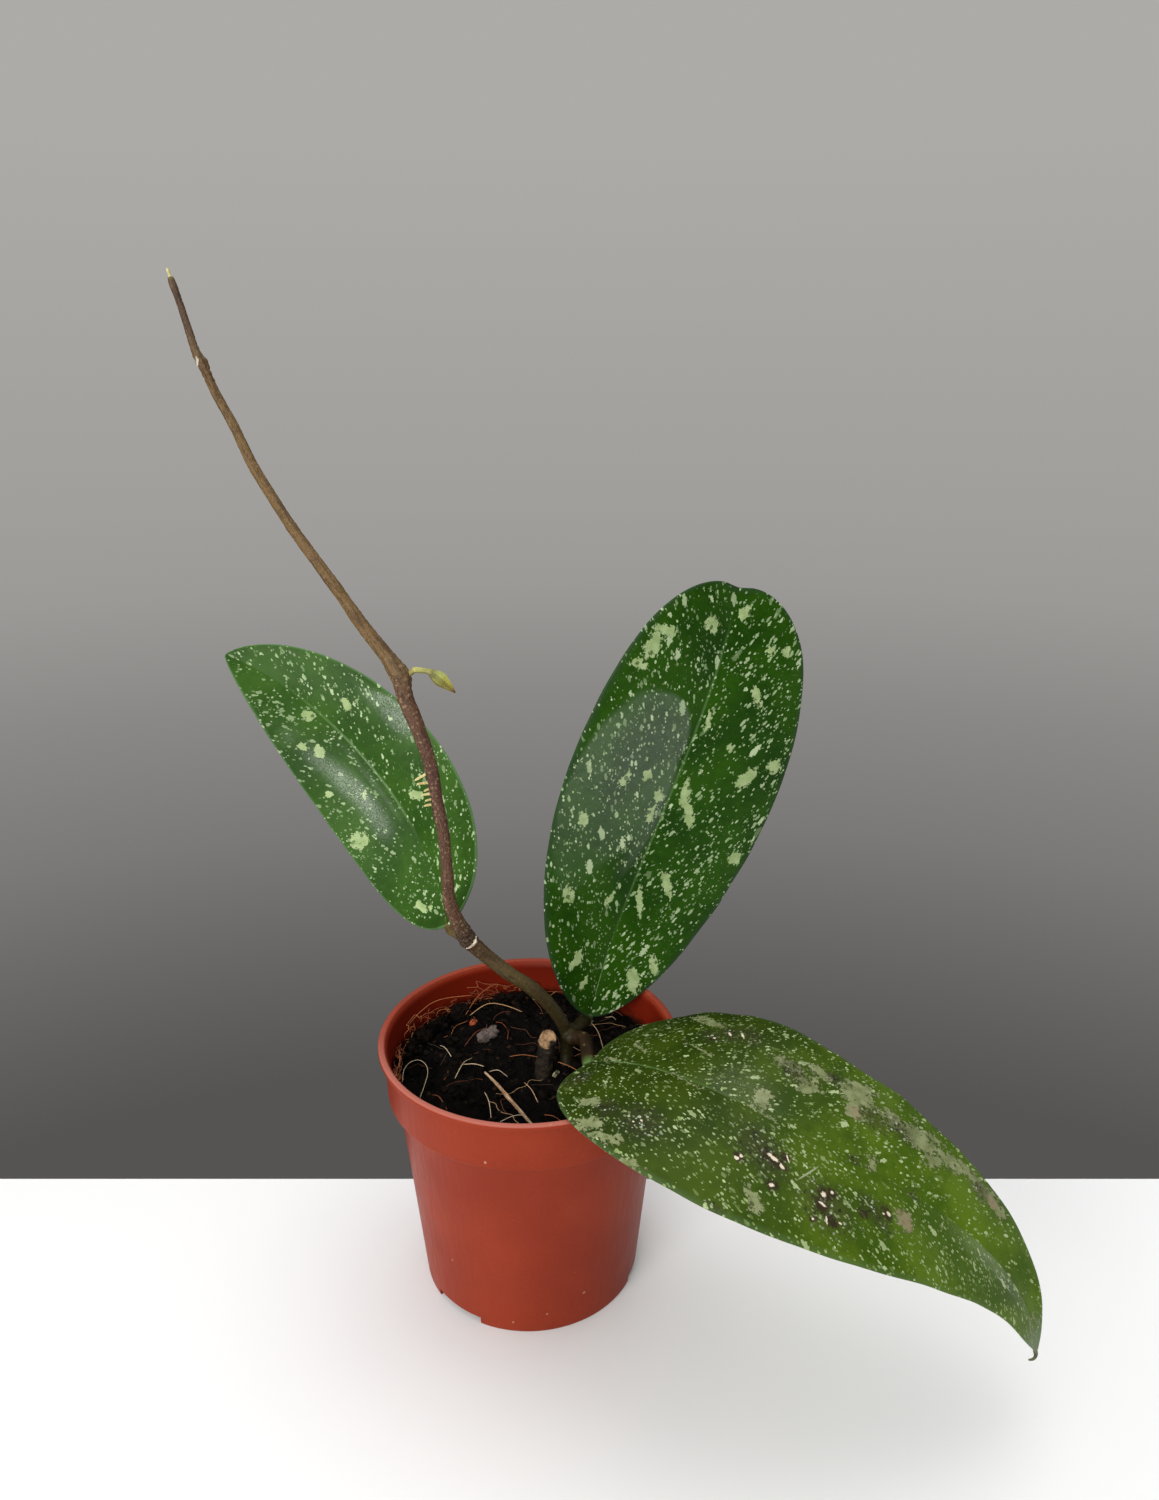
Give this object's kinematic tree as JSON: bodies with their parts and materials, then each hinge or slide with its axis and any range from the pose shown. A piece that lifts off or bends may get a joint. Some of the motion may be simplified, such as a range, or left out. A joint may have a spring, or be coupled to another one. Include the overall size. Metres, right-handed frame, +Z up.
{
  "type": "potted hoya",
  "caption": "Round tapered nursery pot of peat with a young climbing hoya: broad speckled leaves, one drooping over the rim, and a bare leaning runner.",
  "frame": {"origin": "middle of the pot's flat underside, on the surface that the pot stands on", "axes": "+Z up through the pot's axis; -Y is the front, from which the drooping leaf hangs to the right (+X) and the runner leans to the left (-X)"},
  "size_m": [0.2368, 0.1274, 0.2965],
  "materials": {
    "pot_plastic": "satin",
    "peat": "matte",
    "stem_bark": "satin",
    "leaf_green": "satin",
    "bud_green": "satin",
    "twig_wood": "matte",
    "flake_pale": "matte",
    "chip_orange": "matte"
  },
  "bodies": {
    "root": {"pot": "pot_plastic", "soil": "peat", "vine": "stem_bark", "cutting_stub": "stem_bark", "leaf_left": "leaf_green", "leaf_upright": "leaf_green", "leaf_drooping": "leaf_green", "young_shoot": "bud_green", "twig": "twig_wood", "pale_flake": "flake_pale", "bark_chip": "chip_orange"}
  },
  "joints": []
}
